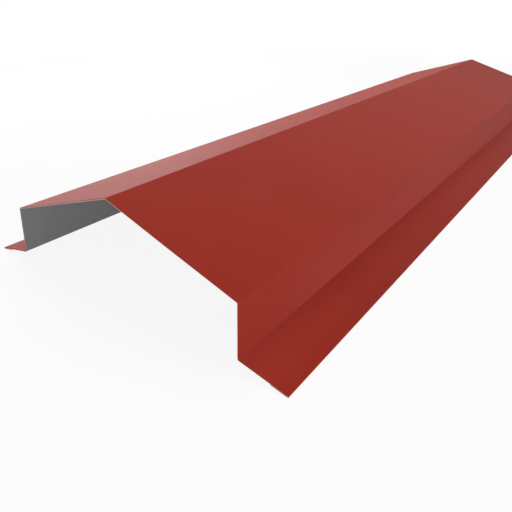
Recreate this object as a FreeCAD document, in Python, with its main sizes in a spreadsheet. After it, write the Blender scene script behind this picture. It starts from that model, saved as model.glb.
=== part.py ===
"""Roof ridge cap: one strip of coated sheet steel, folded along its length.

Two wings fall away from the ridge. Below the outer edge of each wing stands an upright leg, and a
flange runs out from the foot of each leg, its edge folded back underneath as a hem. The cap lies
on its two hems: +Z is up, +Y runs along the ridge and the origin is below the middle of the ridge.
Lengths are in millimetres and angles in degrees.
"""
import FreeCAD
import Part
import Sketcher
import math
import os

# Driving sizes: the flat runs are measured on the coated face, between the corners of its outline
SIZES = {
    "length": 1250.0,
    "slope_width": 168.0,
    "slope_angle": 18.0,
    "leg_height": 56.0,
    "flange_width": 52.0,
    "flange_angle": 12.0,
    "hem_width": 18.0,
    "thickness": 0.7,
    "bend_radius": 0.7,
    "hem_radius": 0.3,
}

# What the sheet's second column says of each size
MEANINGS = {
    "length": "along the ridge",
    "slope_width": "one wing, ridge to upper corner",
    "slope_angle": "fall of each wing",
    "leg_height": "upright leg, upper corner to foot",
    "flange_width": "foot of the leg to the outside of the hem",
    "flange_angle": "fall of each flange",
    "hem_width": "edge folded back under the flange",
    "thickness": "coated sheet",
    "bend_radius": "inside of the ridge, upper corners and feet",
    "hem_radius": "inside of the hems",
}

# Ends of a line or an arc, and the centre of an arc, as sketches number them
START = 1
END = 2
CENTRE = 3

# A sketch's own axes, as it numbers them. The horizontal one starts at the origin
HORIZONTAL_AXIS = -1
VERTICAL_AXIS = -2


def add_sizes(document):
    """The spreadsheet that drives the model."""
    sheet = document.addObject("Spreadsheet::Sheet", "sizes")
    for row, (name, value) in enumerate(SIZES.items(), start=1):
        sheet.set(f"A{row}", name)
        sheet.set(f"B{row}", str(value))
        sheet.set(f"C{row}", MEANINGS[name])
        sheet.setAlias(f"B{row}", name)
    document.recompute()
    return sheet


def origin_plane(body, role):
    """The body's own origin plane of this role."""
    return next(plane for plane in body.Origin.OriginFeatures if plane.Role == role)


def direction(angle):
    """The unit vector in the section that points this many degrees above outwards."""
    return FreeCAD.Vector(math.cos(math.radians(angle)), math.sin(math.radians(angle)), 0)


def corner_to_centre(normal_before, normal_after):
    """From an outline corner to the centre of its bend, for a bend of unit radius."""
    return (normal_before + normal_after) / (1 + normal_before.dot(normal_after))


def bend_centres():
    """Centres of the four bends of the right half, from the ridge to the hem."""
    outside = SIZES["bend_radius"] + SIZES["thickness"]
    hem_outside = SIZES["hem_radius"] + SIZES["thickness"]
    left_wing_normal = direction(90 + SIZES["slope_angle"])
    wing_normal = direction(90 - SIZES["slope_angle"])
    leg_normal = direction(0)
    flange_normal = direction(90 - SIZES["flange_angle"])

    hem = FreeCAD.Vector(0, hem_outside, 0)
    flange_end = hem + flange_normal * hem_outside
    foot_corner = flange_end - direction(-SIZES["flange_angle"]) * (SIZES["flange_width"] - hem_outside)
    upper_corner = foot_corner + FreeCAD.Vector(0, SIZES["leg_height"], 0)
    ridge_corner = upper_corner - direction(-SIZES["slope_angle"]) * SIZES["slope_width"]

    ridge = ridge_corner - corner_to_centre(left_wing_normal, wing_normal) * outside
    upper = upper_corner - corner_to_centre(wing_normal, leg_normal) * outside
    foot = foot_corner + corner_to_centre(leg_normal, flange_normal) * SIZES["bend_radius"]
    to_axis = FreeCAD.Vector(-ridge_corner.x, 0, 0)
    return [centre + to_axis for centre in (ridge, upper, foot, hem)]


def arc_about(centre, radius, start_angle, end_angle):
    """An arc that runs counter-clockwise between two angles."""
    circle = Part.Circle(centre, FreeCAD.Vector(0, 0, 1), radius)
    return Part.ArcOfCircle(circle, math.radians(start_angle), math.radians(end_angle))


def add_face(sketch, ridge_radius, upper_radius, foot_radius, hem_radius):
    """One face of the sheet, coated or bare, from the ridge to the free edge of the hem.

    Returns the sketch's numbers of its four bends and four flat runs, by name. The foot bends
    the other way from the rest, so its arc starts where theirs end.
    """
    ridge_centre, upper_centre, foot_centre, hem_centre = bend_centres()
    wing_normal = 90 - SIZES["slope_angle"]
    flange_normal = 90 - SIZES["flange_angle"]
    ridge = arc_about(ridge_centre, ridge_radius, wing_normal, 90)
    upper = arc_about(upper_centre, upper_radius, 0, wing_normal)
    foot = arc_about(foot_centre, foot_radius, 180, 180 + flange_normal)
    hem = arc_about(hem_centre, hem_radius, flange_normal - 180, flange_normal)
    turned_back = direction(180 - SIZES["flange_angle"])
    hem_outside = SIZES["hem_radius"] + SIZES["thickness"]
    free_end = hem.StartPoint + turned_back * (SIZES["hem_width"] - hem_outside)

    shapes = {
        "ridge": ridge,
        "wing": Part.LineSegment(ridge.StartPoint, upper.EndPoint),
        "upper": upper,
        "leg": Part.LineSegment(upper.StartPoint, foot.StartPoint),
        "foot": foot,
        "flange": Part.LineSegment(foot.EndPoint, hem.EndPoint),
        "hem": hem,
        "return": Part.LineSegment(hem.StartPoint, free_end),
    }
    face = {name: sketch.addGeometry(shape, False) for name, shape in shapes.items()}
    joins = [
        ("ridge", START, "wing", START),
        ("wing", END, "upper", END),
        ("upper", START, "leg", START),
        ("leg", END, "foot", START),
        ("foot", END, "flange", START),
        ("flange", END, "hem", END),
        ("hem", START, "return", START),
    ]
    for first, first_end, second, second_end in joins:
        sketch.addConstraint(
            Sketcher.Constraint("Tangent", face[first], first_end, face[second], second_end)
        )
    sketch.addConstraint(Sketcher.Constraint("PointOnObject", face["ridge"], END, VERTICAL_AXIS))
    return face


def add_cut(sketch, coated, bare, run, end):
    """The straight line across the thickness that joins the two faces at one end of a run."""
    coated_point = sketch.getPoint(coated[run], end)
    bare_point = sketch.getPoint(bare[run], end)
    cut = sketch.addGeometry(Part.LineSegment(coated_point, bare_point), False)
    sketch.addConstraint(Sketcher.Constraint("Coincident", cut, START, coated[run], end))
    sketch.addConstraint(Sketcher.Constraint("Coincident", cut, END, bare[run], end))
    return cut


def add_outline_corners(sketch, coated):
    """Construction lines along the wing and the leg, between the corners of the coated outline.

    Returns the numbers of the two lines. The leg's line ends at the corner of the foot.
    """
    upper_corner = sketch.getPoint(coated["upper"], START)
    foot_corner = sketch.getPoint(coated["foot"], START)
    ridge_corner = sketch.getPoint(coated["ridge"], END)
    wing_line = sketch.addGeometry(Part.LineSegment(ridge_corner, upper_corner), True)
    leg_line = sketch.addGeometry(Part.LineSegment(upper_corner, foot_corner), True)
    corners = [
        ("PointOnObject", wing_line, START, VERTICAL_AXIS),
        ("PointOnObject", wing_line, START, coated["wing"]),
        ("Coincident", wing_line, END, leg_line, START),
        ("PointOnObject", leg_line, START, coated["wing"]),
        ("PointOnObject", leg_line, START, coated["leg"]),
        ("PointOnObject", leg_line, END, coated["leg"]),
        ("PointOnObject", leg_line, END, coated["flange"]),
    ]
    for corner in corners:
        sketch.addConstraint(Sketcher.Constraint(*corner))
    return wing_line, leg_line


def add_dimension(sketch, name, constraint, expression):
    """A named dimension that takes its value from the spreadsheet."""
    number = sketch.addConstraint(constraint)
    sketch.renameConstraint(number, name)
    sketch.setExpression(f"Constraints.{name}", expression)


def add_half_section(body):
    """The right half of the folded section, looking along the ridge."""
    sketch = body.newObject("Sketcher::SketchObject", "half_section")
    sketch.AttachmentSupport = [(origin_plane(body, "XZ_Plane"), "")]
    sketch.MapMode = "FlatFace"

    inside = SIZES["bend_radius"]
    outside = inside + SIZES["thickness"]
    hem_inside = SIZES["hem_radius"]
    hem_outside = hem_inside + SIZES["thickness"]
    coated = add_face(sketch, outside, outside, inside, hem_outside)
    bare = add_face(sketch, inside, inside, outside, hem_inside)
    for bend in ("ridge", "upper", "foot", "hem"):
        sketch.addConstraint(
            Sketcher.Constraint("Coincident", coated[bend], CENTRE, bare[bend], CENTRE)
        )

    add_cut(sketch, coated, bare, "ridge", END)
    free_edge = add_cut(sketch, coated, bare, "return", END)
    wing_line, leg_line = add_outline_corners(sketch, coated)
    shape_rules = [
        ("PointOnObject", coated["ridge"], CENTRE, VERTICAL_AXIS),
        ("Vertical", coated["leg"]),
        ("Parallel", coated["return"], coated["flange"]),
        ("Parallel", bare["return"], coated["return"]),
        ("Perpendicular", free_edge, coated["return"]),
        ("Equal", coated["ridge"], coated["upper"]),
        ("Equal", coated["ridge"], bare["foot"]),
        ("Equal", bare["ridge"], bare["upper"]),
        ("Equal", bare["ridge"], coated["foot"]),
    ]
    for rule in shape_rules:
        sketch.addConstraint(Sketcher.Constraint(*rule))

    def dimension(name, expression, *parts):
        add_dimension(sketch, name, Sketcher.Constraint(*parts), expression)

    dimension("inside_radius", "sizes.bend_radius", "Radius", bare["ridge"], inside)
    dimension(
        "outside_radius", "sizes.bend_radius + sizes.thickness", "Radius", coated["ridge"], outside
    )
    dimension("hem_inside_radius", "sizes.hem_radius", "Radius", bare["hem"], hem_inside)
    dimension(
        "hem_outside_radius",
        "sizes.hem_radius + sizes.thickness",
        "Radius",
        coated["hem"],
        hem_outside,
    )
    dimension(
        "wing_fall",
        "-sizes.slope_angle",
        "Angle",
        coated["wing"],
        math.radians(-SIZES["slope_angle"]),
    )
    dimension(
        "flange_fall",
        "-sizes.flange_angle",
        "Angle",
        coated["flange"],
        math.radians(-SIZES["flange_angle"]),
    )
    dimension("wing_width", "sizes.slope_width", "Distance", wing_line, SIZES["slope_width"])
    dimension("leg_height", "sizes.leg_height", "Distance", leg_line, SIZES["leg_height"])
    dimension(
        "flange_run",
        "sizes.flange_width - sizes.hem_radius - sizes.thickness",
        "Distance",
        leg_line,
        END,
        coated["flange"],
        END,
        SIZES["flange_width"] - hem_outside,
    )
    dimension(
        "hem_run",
        "sizes.hem_width - sizes.hem_radius - sizes.thickness",
        "Distance",
        coated["return"],
        SIZES["hem_width"] - hem_outside,
    )
    dimension(
        "hem_above_floor",
        "sizes.hem_radius + sizes.thickness",
        "DistanceY",
        HORIZONTAL_AXIS,
        START,
        coated["hem"],
        CENTRE,
        hem_outside,
    )
    return sketch


def add_ridge_cap(document):
    """The folded cap: the half section along the whole length, and its mirror image."""
    body = document.addObject("PartDesign::Body", "ridge_cap")
    section = add_half_section(body)
    document.recompute()

    half = body.newObject("PartDesign::Pad", "right_half")
    half.Profile = section
    half.SideType = "Symmetric"
    half.setExpression("Length", "sizes.length")

    both = body.newObject("PartDesign::Mirrored", "both_halves")
    both.Originals = [half]
    both.MirrorPlane = (origin_plane(body, "YZ_Plane"), [""])
    both.Refine = True
    body.Tip = both
    body.Label = "ridge_cap"
    document.recompute()
    return body


def check(document, section, body):
    """Stop unless every object is sound and the cap is one solid."""
    for item in document.Objects:
        if "Invalid" in item.State or "Error" in item.State:
            raise RuntimeError(f"{item.Label} failed: {item.State}")
    if not section.FullyConstrained:
        raise RuntimeError("the section can still move")
    if body.Shape.isNull() or not body.Shape.isValid():
        raise RuntimeError(f"{body.Label} has no valid shape")
    if len(body.Shape.Solids) != 1:
        raise RuntimeError(f"{body.Label} is not one solid")


def main():
    document = FreeCAD.newDocument("roof_ridge_cap")
    add_sizes(document)
    ridge_cap = add_ridge_cap(document)
    check(document, document.getObject("half_section"), ridge_cap)
    os.makedirs("parts", exist_ok=True)
    ridge_cap.Shape.exportStep(f"parts/{ridge_cap.Label}.step")
    box = ridge_cap.Shape.BoundBox
    print(f"{box.XLength:.2f} wide, {box.YLength:.2f} long, {box.ZLength:.2f} high")
    print(f"volume {ridge_cap.Shape.Volume:.1f}")


main()
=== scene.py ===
import math

import bpy
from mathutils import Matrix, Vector


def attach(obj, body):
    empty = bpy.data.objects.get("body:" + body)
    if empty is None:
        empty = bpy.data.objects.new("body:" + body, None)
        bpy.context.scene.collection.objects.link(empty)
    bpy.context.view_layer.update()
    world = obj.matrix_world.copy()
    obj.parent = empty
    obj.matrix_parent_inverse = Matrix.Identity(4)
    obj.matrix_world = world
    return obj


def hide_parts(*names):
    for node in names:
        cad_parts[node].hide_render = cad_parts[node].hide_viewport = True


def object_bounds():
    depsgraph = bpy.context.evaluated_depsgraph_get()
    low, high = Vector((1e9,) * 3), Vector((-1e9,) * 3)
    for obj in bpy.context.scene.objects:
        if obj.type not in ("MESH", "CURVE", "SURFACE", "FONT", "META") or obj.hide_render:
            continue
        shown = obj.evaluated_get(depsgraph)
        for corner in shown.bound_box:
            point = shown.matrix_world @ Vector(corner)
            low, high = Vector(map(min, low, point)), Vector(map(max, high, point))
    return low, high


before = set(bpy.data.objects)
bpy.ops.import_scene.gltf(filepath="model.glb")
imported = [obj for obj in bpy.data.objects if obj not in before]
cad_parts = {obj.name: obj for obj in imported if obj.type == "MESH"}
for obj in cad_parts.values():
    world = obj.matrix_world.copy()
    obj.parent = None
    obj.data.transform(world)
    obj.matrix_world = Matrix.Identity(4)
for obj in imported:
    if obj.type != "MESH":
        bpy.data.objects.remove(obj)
cad_low, cad_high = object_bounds()

# The folded section, in metres and degrees, as the solid has it
SLOPE_WIDTH = 0.168
SLOPE_ANGLE = 18.0
LEG_HEIGHT = 0.056
FLANGE_WIDTH = 0.052
FLANGE_ANGLE = 12.0
HEM_WIDTH = 0.018
THICKNESS = 0.0007
BEND_RADIUS = 0.0007
HEM_RADIUS = 0.0003

# How finely the sheet is divided, and from what angle a fold of the mesh is shaded sharp
CELL = 0.012
SUPPORT = 0.0004
BEND_STEP = 9.0
SHARP_ANGLE = 40.0

# The size of the waves in the flat runs: the wings and legs bow inwards, the flanges outwards
WING_WAVE = 0.00016
LEG_WAVE = 0.00008
FLANGE_WAVE = 0.00007

# The shear draws the coat over the cut edge by this much, and leaves a burr below it
ROLLOVER = 0.0006
ROLLOVER_STEPS = 3
BURR = 0.0004

# The sheet's materials, as it numbers them
COAT = 0
PRIMER = 1
CUT_EDGE = 2

# Painted light and shade round the foot of the leg, standing in for what the lamps leave out at that
# crease. The coat is painted a little paler low on the leg, up to this height above the fold, and
# painted darker towards the flange's free edge. Over this length from the near end the leg is hardly
# paler, and the flange is painted paler beside its fold instead of darker at its edge
FOOT_REACH = 0.048
FOOT_PAINTED_LIGHT = 0.8
FOOT_PAINTED_SHADE = 0.9
NEAR_LENGTH = 0.16
NEAR_LEG_SHARE = 0.1
NEAR_FLANGE_SHARE = 0.8

# The camera, fitted to the photograph's outline and creases: metres, degrees and pixels
IMAGE_SIZE = 512
CAMERA_PLACE = Vector((0.3862, -0.9167, 0.31195))
CAMERA_DOWN = 19.147
CAMERA_TURN = 37.242
FOCAL_PIXELS = 528.89
PRINCIPAL_X = 242.6
PRINCIPAL_Y = 168.6
SENSOR_WIDTH = 36.0


# The sheet

def outward(angle):
    """The unit vector in the section that points this many degrees above outwards."""
    return Vector((math.cos(math.radians(angle)), 0.0, math.sin(math.radians(angle))))


def straight_stations(start, heading, length, run):
    """Points along a flat run, after its start: a narrow cell beside each bend, even cells between."""
    inner = length - 2 * SUPPORT
    cells = max(1, round(inner / CELL))
    distances = [SUPPORT + inner * k / cells for k in range(cells + 1)] + [length]
    normal = outward(heading + 90)
    return [
        {"point": start + outward(heading) * d, "normal": normal, "run": run, "along": d / length}
        for d in distances
    ]


def bend_stations(start, heading, turn, radius, run):
    """Points round a bend of the coated face, after its start. A positive turn is to the left."""
    side = 1 if turn > 0 else -1
    centre = start + outward(heading + 90) * radius * side
    steps = max(2, round(abs(turn) / BEND_STEP))
    stations = []
    for k in range(1, steps + 1):
        normal = outward(heading + turn * k / steps + 90)
        stations.append(
            {"point": centre - normal * radius * side, "normal": normal, "run": run, "along": k / steps}
        )
    return stations


def right_half():
    """The coated face from the ridge to the free edge of the right hem."""
    outside = BEND_RADIUS + THICKNESS
    hem_outside = HEM_RADIUS + THICKNESS
    upper_turn = 90 - SLOPE_ANGLE
    foot_turn = 90 - FLANGE_ANGLE
    ridge_setback = outside * math.tan(math.radians(SLOPE_ANGLE))
    upper_setback = outside * math.tan(math.radians(upper_turn / 2))
    foot_setback = BEND_RADIUS * math.tan(math.radians(foot_turn / 2))
    walk = [
        ("ridge", -SLOPE_ANGLE, outside),
        ("wing", 0, SLOPE_WIDTH - ridge_setback - upper_setback),
        ("upper", -upper_turn, outside),
        ("leg", 0, LEG_HEIGHT - upper_setback - foot_setback),
        ("foot", foot_turn, BEND_RADIUS),
        ("flange", 0, FLANGE_WIDTH - foot_setback - hem_outside),
        ("hem", -180, hem_outside),
        ("return", 0, HEM_WIDTH - hem_outside),
    ]
    heading = 0.0
    top = Vector((0.0, 0.0, cad_high.z))
    stations = [{"point": top, "normal": outward(90), "run": "ridge", "along": 0.0}]
    for run, turn, size in walk:
        start = stations[-1]["point"]
        if turn:
            stations += bend_stations(start, heading, turn, size, run)
        else:
            stations += straight_stations(start, heading, size, run)
        heading += turn
    return stations


def mirrored(station):
    """The same station on the left half."""
    point, normal = station["point"], station["normal"]
    return {
        **station,
        "point": Vector((-point.x, 0.0, point.z)),
        "normal": Vector((-normal.x, 0.0, normal.z)),
    }


def rows_along():
    """For each row of the mesh, near end to far end: y, how far the coat is drawn in, and the burr."""
    low, high = cad_low.y, cad_high.y
    near = []
    for k in range(ROLLOVER_STEPS + 1):
        angle = math.radians(90 * (1 - k / ROLLOVER_STEPS))
        drawn = ROLLOVER * (1 - math.cos(angle))
        near.append((low + ROLLOVER * (1 - math.sin(angle)), drawn, BURR * (1 - k / ROLLOVER_STEPS)))
    near.append((low + ROLLOVER + SUPPORT, 0.0, 0.0))
    first = near[-1][0] + SUPPORT
    span = high - low - 2 * (first - low)
    cells = round(span / CELL)
    middle = [(first + span * k / cells, 0.0, 0.0) for k in range(cells + 1)]
    far = [(low + high - y, drawn, burr) for y, drawn, burr in reversed(near)]
    return near + middle + far


def waviness(station, y):
    """How far the rolled sheet stands out from flat here, along its normal."""
    x = station["point"].x
    run, along = station["run"], station["along"]
    side = 1.0 if x > 0 else -1.0
    if run == "wing":
        slow = math.sin(9.1 * y + 1.3 * side) + 0.6 * math.sin(17.3 * y - 2.1 * side + 4.0 * along)
        return -WING_WAVE * math.sin(math.pi * along) ** 2 * (1.6 + slow) / 2
    if run == "leg":
        slow = math.sin(13.7 * y + 0.8 * side)
        return -LEG_WAVE * math.sin(math.pi * along) ** 2 * (1 + slow)
    if run == "flange":
        slow = math.sin(15.9 * y + 2.6 * side)
        return FLANGE_WAVE * math.sin(math.pi * along) ** 2 * (1 + slow)
    return 0.0


def sheet_mesh():
    """The folded sheet as one closed mesh. The hem's lower layer has coat smeared over its cut ends."""
    half = right_half()
    stations = [mirrored(s) for s in reversed(half[1:])] + half
    rows = rows_along()
    coated, bare = [], []
    vertices, faces, materials = [], [], []
    for y, drawn, burr in rows:
        coated_row, bare_row = [], []
        for station in stations:
            wave = waviness(station, y)
            across = station["point"] + Vector((0.0, y, 0.0))
            coated_row.append(len(vertices))
            vertices.append(across + station["normal"] * (wave - drawn))
            bare_row.append(len(vertices))
            lip = burr / 2 if station["run"] in ("flange", "hem", "return") else burr
            vertices.append(across + station["normal"] * (wave - THICKNESS - lip))
        coated.append(coated_row)
        bare.append(bare_row)

    last = len(stations) - 1
    for near, far in zip(range(len(rows)), range(1, len(rows))):
        for i in range(last):
            faces.append((coated[near][i], coated[near][i + 1], coated[far][i + 1], coated[far][i]))
            faces.append((bare[far][i], bare[far][i + 1], bare[near][i + 1], bare[near][i]))
            materials += [COAT, PRIMER]
        faces.append((coated[far][0], bare[far][0], bare[near][0], coated[near][0]))
        faces.append((coated[near][last], bare[near][last], bare[far][last], coated[far][last]))
        materials += [CUT_EDGE, CUT_EDGE]
    for i in range(last):
        faces.append((coated[0][i], bare[0][i], bare[0][i + 1], coated[0][i + 1]))
        faces.append((coated[-1][i + 1], bare[-1][i + 1], bare[-1][i], coated[-1][i]))
        folded_under = "return" in (stations[i]["run"], stations[i + 1]["run"])
        materials += [COAT, COAT] if folded_under else [CUT_EDGE, CUT_EDGE]

    mesh = bpy.data.meshes.new("folded_sheet")
    mesh.from_pydata([tuple(v) for v in vertices], [], faces)
    mesh.polygons.foreach_set("material_index", materials)
    mesh.polygons.foreach_set("use_smooth", [True] * len(faces))
    mesh.set_sharp_from_angle(angle=math.radians(SHARP_ANGLE))
    mesh.validate()
    mesh.update()
    return mesh


# Materials

def new_material(name):
    """A material with only its Principled shader, and what is needed to add to it."""
    material = bpy.data.materials.new(name)
    material.use_nodes = True
    tree = material.node_tree
    shader = tree.nodes["Principled BSDF"]
    return material, tree, shader


def place(tree):
    """The node that gives the object's own coordinates."""
    return tree.nodes.new("ShaderNodeTexCoord").outputs["Object"]


def stretched(tree, coordinates, scale):
    """Coordinates multiplied along each axis."""
    mapping = tree.nodes.new("ShaderNodeMapping")
    mapping.inputs["Scale"].default_value = scale
    tree.links.new(coordinates, mapping.inputs["Vector"])
    return mapping.outputs["Vector"]


def noise(tree, coordinates, scale, detail=3.0, roughness=0.5):
    """Noise of a scale given in cells a metre."""
    node = tree.nodes.new("ShaderNodeTexNoise")
    node.inputs["Scale"].default_value = scale
    node.inputs["Detail"].default_value = detail
    node.inputs["Roughness"].default_value = roughness
    tree.links.new(coordinates, node.inputs["Vector"])
    return node.outputs["Fac"]


def mapped(tree, value, low, high, to_low, to_high):
    """A value moved from one range to another, clamped at its ends."""
    node = tree.nodes.new("ShaderNodeMapRange")
    node.inputs["From Min"].default_value = low
    node.inputs["From Max"].default_value = high
    node.inputs["To Min"].default_value = to_low
    node.inputs["To Max"].default_value = to_high
    tree.links.new(value, node.inputs["Value"])
    return node.outputs["Result"]


def calculated(tree, operation, first, second):
    """Two values, sockets or numbers, put together by a maths node."""
    node = tree.nodes.new("ShaderNodeMath")
    node.operation = operation
    for socket, value in ((node.inputs[0], first), (node.inputs[1], second)):
        if isinstance(value, (int, float)):
            socket.default_value = value
        else:
            tree.links.new(value, socket)
    return node.outputs["Value"]


def mixed(tree, factor, first, second):
    """A colour between two, each a colour or a socket."""
    node = tree.nodes.new("ShaderNodeMix")
    node.data_type = "RGBA"
    tree.links.new(factor, node.inputs["Factor"])
    for socket, colour in ((node.inputs[6], first), (node.inputs[7], second)):
        if isinstance(colour, tuple):
            socket.default_value = (*colour, 1.0)
        else:
            tree.links.new(colour, socket)
    return node.outputs[2]


def bumped(tree, height, distance, strength, below=None):
    """A normal raised by a height map, on top of another normal if one is given."""
    node = tree.nodes.new("ShaderNodeBump")
    node.inputs["Distance"].default_value = distance
    node.inputs["Strength"].default_value = strength
    tree.links.new(height, node.inputs["Height"])
    if below is not None:
        tree.links.new(below, node.inputs["Normal"])
    return node.outputs["Normal"]


def product(tree, *factors):
    """Several values multiplied together."""
    result = factors[0]
    for factor in factors[1:]:
        result = calculated(tree, "MULTIPLY", result, factor)
    return result


def painted_foot_light_and_shade(tree, coordinates):
    """How much painted light lifts the coat round the foot of each leg, and how much painted shade
    darkens it out on the flange, from 0 to 1.
    """
    fold = next(station["point"].z for station in right_half() if station["run"] == "foot")
    flange_drop = FLANGE_WIDTH * math.sin(math.radians(FLANGE_ANGLE))
    separate = tree.nodes.new("ShaderNodeSeparateXYZ")
    tree.links.new(coordinates, separate.inputs["Vector"])
    along, height = separate.outputs["Y"], separate.outputs["Z"]
    near_end = cad_low.y + NEAR_LENGTH
    on_leg = product(
        tree,
        mapped(tree, height, fold - BEND_RADIUS, fold, 0.0, 1.0),
        mapped(tree, height, fold, fold + FOOT_REACH, 1.0, 0.0),
        mapped(tree, along, cad_low.y, near_end, NEAR_LEG_SHARE, 1.0),
    )
    on_flange = product(
        tree,
        mapped(tree, height, fold - BEND_RADIUS, fold, 1.0, 0.0),
        mapped(tree, height, fold - flange_drop, fold, 0.0, NEAR_FLANGE_SHARE),
        mapped(tree, along, cad_low.y, near_end, 1.0, 0.0),
    )
    painted_shade_share = product(
        tree,
        mapped(tree, height, fold - flange_drop, fold, 1.0, 0.0),
        mapped(tree, along, cad_low.y, near_end, 0.0, 1.0),
    )
    return calculated(tree, "ADD", on_leg, on_flange), painted_shade_share


def coat_material():
    """Brown-red polyester coat: satin, with a coil coating's grain, and painted light and shade at the
    feet.
    """
    material, tree, shader = new_material("brown_red_coat")
    at = place(tree)
    cloud = noise(tree, at, 11.0, detail=2.0)
    colour = mixed(
        tree, mapped(tree, cloud, 0.3, 0.7, 0.0, 1.0), (0.306, 0.0165, 0.0038), (0.321, 0.0185, 0.0055)
    )
    grain = noise(tree, at, 900.0, detail=2.0)
    colour = mixed(tree, mapped(tree, grain, 0.35, 0.75, 0.0, 0.10), colour, (0.387, 0.033, 0.025))
    patchy = mapped(tree, noise(tree, at, 60.0, detail=3.0), 0.3, 0.7, 0.85, 1.0)
    painted_light_share, painted_shade_share = painted_foot_light_and_shade(tree, at)
    # Painted light: the coat paler low on each leg, and beside the fold near the near end
    colour = mixed(tree, product(tree, painted_light_share, patchy, FOOT_PAINTED_LIGHT), colour, (0.43, 0.045, 0.030))
    # Painted shade: the coat darker out towards the flange's free edge
    colour = mixed(tree, product(tree, painted_shade_share, patchy, FOOT_PAINTED_SHADE), colour, (0.262, 0.0145, 0.0042))
    tree.links.new(colour, shader.inputs["Base Color"])
    streaks = noise(tree, stretched(tree, at, (6.0, 160.0, 6.0)), 1.0, detail=3.0)
    tree.links.new(mapped(tree, streaks, 0.3, 0.7, 0.67, 0.73), shader.inputs["Roughness"])
    peel = bumped(tree, noise(tree, at, 420.0, detail=1.0), 0.00002, 0.5)
    fine = bumped(tree, grain, 0.000008, 0.5, below=peel)
    tree.links.new(fine, shader.inputs["Normal"])
    shader.inputs["Specular IOR Level"].default_value = 0.1
    shader.inputs["Sheen Weight"].default_value = 0.1
    shader.inputs["Sheen Roughness"].default_value = 0.5
    return material


def primer_material():
    """Grey back coat: matt, thin, with faint streaks from the coating rollers."""
    material, tree, shader = new_material("grey_back_coat")
    at = place(tree)
    streaks = noise(tree, stretched(tree, at, (10.0, 220.0, 10.0)), 1.0, detail=3.0)
    colour = mixed(
        tree, mapped(tree, streaks, 0.3, 0.7, 0.0, 1.0), (0.252, 0.254, 0.252), (0.270, 0.272, 0.270)
    )
    tree.links.new(colour, shader.inputs["Base Color"])
    cloud = noise(tree, at, 30.0, detail=4.0)
    tree.links.new(mapped(tree, cloud, 0.3, 0.7, 0.50, 0.60), shader.inputs["Roughness"])
    grain = bumped(tree, noise(tree, at, 1100.0, detail=2.0), 0.00001, 0.5)
    tree.links.new(grain, shader.inputs["Normal"])
    return material


def cut_edge_material():
    """Sheared steel, bright with zinc and tinged by smeared coat, with the shear's fine lines."""
    material, tree, shader = new_material("sheared_steel")
    at = place(tree)
    lines = noise(tree, stretched(tree, at, (2500.0, 200.0, 900.0)), 1.0, detail=2.0)
    colour = mixed(
        tree, mapped(tree, lines, 0.3, 0.7, 0.0, 1.0), (0.66, 0.45, 0.42), (0.82, 0.62, 0.58)
    )
    tree.links.new(colour, shader.inputs["Base Color"])
    tree.links.new(mapped(tree, lines, 0.3, 0.7, 0.30, 0.45), shader.inputs["Roughness"])
    tree.links.new(bumped(tree, lines, 0.00002, 0.6), shader.inputs["Normal"])
    shader.inputs["Metallic"].default_value = 0.3
    return material


def add_sheet():
    """The cap's visible sheet, in place of the plain solid."""
    sheet = bpy.data.objects.new("ridge_cap_sheet", sheet_mesh())
    bpy.context.scene.collection.objects.link(sheet)
    for material in (coat_material(), primer_material(), cut_edge_material()):
        sheet.data.materials.append(material)
    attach(sheet, "root")
    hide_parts("ridge_cap")
    return sheet


# Studio

# The floor. The camera sees it as its lit surface mixed with plain white: this share of white up to
# where the fade starts, and white alone where it ends
FLOOR_RADIUS = 1.9
FLOOR_SIDES = 96
FLOOR_COLOUR = 0.9
FLOOR_WHITE_NEAR = 0.9
FLOOR_FADE_START = 1.0
FLOOR_FADE_END = 1.862

# How brightly the white room lights the cap
ROOM_STRENGTH = 0.2

# Soft lamps: place, aim, width, height and how bright, where 1 is a white card in the room
SOFTBOXES = {
    "left_softbox": ((-1.5, 0.3, 0.45), (0.0, 0.0, 0.05), 1.2, 0.8, 5.2),
    "left_far_softbox": ((-1.5, 1.2, 0.45), (0.0, 0.2, 0.05), 1.0, 0.8, 0.8),
    "top_softbox": ((0.0, 0.0, 1.8), (0.0, 0.0, 0.0), 1.4, 1.4, 2.7),
    "right_softbox": ((1.6, 0.1, 0.6), (0.0, 0.0, 0.05), 1.2, 0.8, 2.25),
    "front_softbox": ((1.0, -1.5, 0.35), (0.0, -0.4, 0.05), 0.8, 0.5, 5.85),
}


def seen_white(tree):
    """1 for the rays that see the room as plain white, which are all but those that light things."""
    rays = tree.nodes.new("ShaderNodeLightPath").outputs
    seen = calculated(tree, "MAXIMUM", rays["Is Camera Ray"], rays["Is Glossy Ray"])
    return calculated(tree, "MAXIMUM", seen, rays["Is Transmission Ray"])


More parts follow.
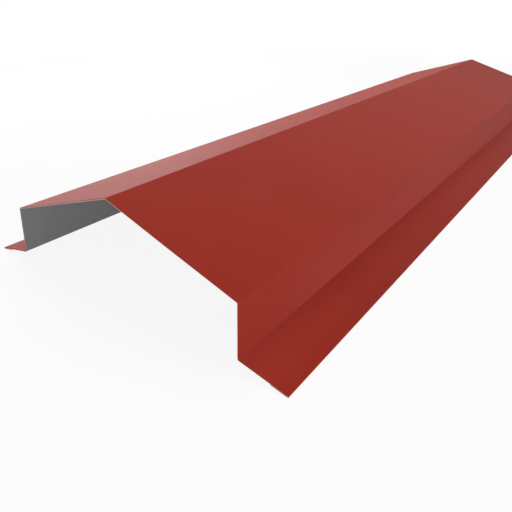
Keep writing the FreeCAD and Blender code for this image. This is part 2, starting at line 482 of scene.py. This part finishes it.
def add_floor():
    """A round pale floor, white to the camera, that keeps the cap's shadow and fades out at its rim."""
    points = [
        (
            FLOOR_RADIUS * math.cos(2 * math.pi * k / FLOOR_SIDES),
            FLOOR_RADIUS * math.sin(2 * math.pi * k / FLOOR_SIDES),
            cad_low.z,
        )
        for k in range(FLOOR_SIDES)
    ]
    mesh = bpy.data.meshes.new("floor")
    mesh.from_pydata(points, [], [tuple(range(FLOOR_SIDES))])
    floor = bpy.data.objects.new("floor", mesh)
    bpy.context.scene.collection.objects.link(floor)
    material = bpy.data.materials.new("pale_floor")
    material.use_nodes = True
    tree = material.node_tree
    tree.nodes.clear()
    distance = tree.nodes.new("ShaderNodeVectorMath")
    distance.operation = "LENGTH"
    tree.links.new(place(tree), distance.inputs[0])
    fade = mapped(
        tree, distance.outputs["Value"], FLOOR_FADE_START, FLOOR_FADE_END, FLOOR_WHITE_NEAR, 1.0
    )
    lit = tree.nodes.new("ShaderNodeBsdfDiffuse")
    lit.inputs["Color"].default_value = (FLOOR_COLOUR, FLOOR_COLOUR, FLOOR_COLOUR, 1.0)
    white = tree.nodes.new("ShaderNodeEmission")
    mix = tree.nodes.new("ShaderNodeMixShader")
    output = tree.nodes.new("ShaderNodeOutputMaterial")
    tree.links.new(calculated(tree, "MULTIPLY", seen_white(tree), fade), mix.inputs["Fac"])
    tree.links.new(lit.outputs["BSDF"], mix.inputs[1])
    tree.links.new(white.outputs["Emission"], mix.inputs[2])
    tree.links.new(mix.outputs["Shader"], output.inputs["Surface"])
    floor.data.materials.append(material)


def add_world():
    """A room that is seen as white and lights the cap far less than that."""
    world = bpy.data.worlds.new("room")
    bpy.context.scene.world = world
    world.use_nodes = True
    tree = world.node_tree
    tree.nodes.clear()
    room = tree.nodes.new("ShaderNodeBackground")
    room.inputs["Color"].default_value = (1.0, 1.0, 1.0, 1.0)
    tree.links.new(
        mapped(tree, seen_white(tree), 0.0, 1.0, ROOM_STRENGTH, 1.0), room.inputs["Strength"]
    )
    output = tree.nodes.new("ShaderNodeOutputWorld")
    tree.links.new(room.outputs["Background"], output.inputs["Surface"])


def add_softbox(name, place_at, aim, width, depth, radiance):
    """A soft rectangular lamp, as bright as a white card of this radiance."""
    light = bpy.data.lights.new(name, "AREA")
    light.shape = "RECTANGLE"
    light.size = width
    light.size_y = depth
    light.energy = radiance * width * depth * math.pi
    lamp = bpy.data.objects.new(name, light)
    lamp.location = place_at
    lamp.rotation_euler = (Vector(aim) - Vector(place_at)).to_track_quat("-Z", "Y").to_euler()
    lamp.visible_camera = False
    bpy.context.scene.collection.objects.link(lamp)


def add_camera():
    """The camera at the photograph's place, with its framing."""
    data = bpy.data.cameras.new("camera")
    data.sensor_width = SENSOR_WIDTH
    data.lens = FOCAL_PIXELS / IMAGE_SIZE * SENSOR_WIDTH
    data.shift_x = 0.5 - PRINCIPAL_X / IMAGE_SIZE
    data.shift_y = PRINCIPAL_Y / IMAGE_SIZE - 0.5
    data.clip_start = 0.01
    camera = bpy.data.objects.new("camera", data)
    camera.location = CAMERA_PLACE
    camera.rotation_euler = (math.radians(90 - CAMERA_DOWN), 0.0, math.radians(CAMERA_TURN))
    bpy.context.scene.collection.objects.link(camera)
    bpy.context.scene.camera = camera


add_sheet()
add_floor()
add_world()
for name, (place_at, aim, width, depth, radiance) in SOFTBOXES.items():
    add_softbox(name, place_at, aim, width, depth, radiance)
add_camera()
bpy.context.scene.view_settings.view_transform = "Standard"
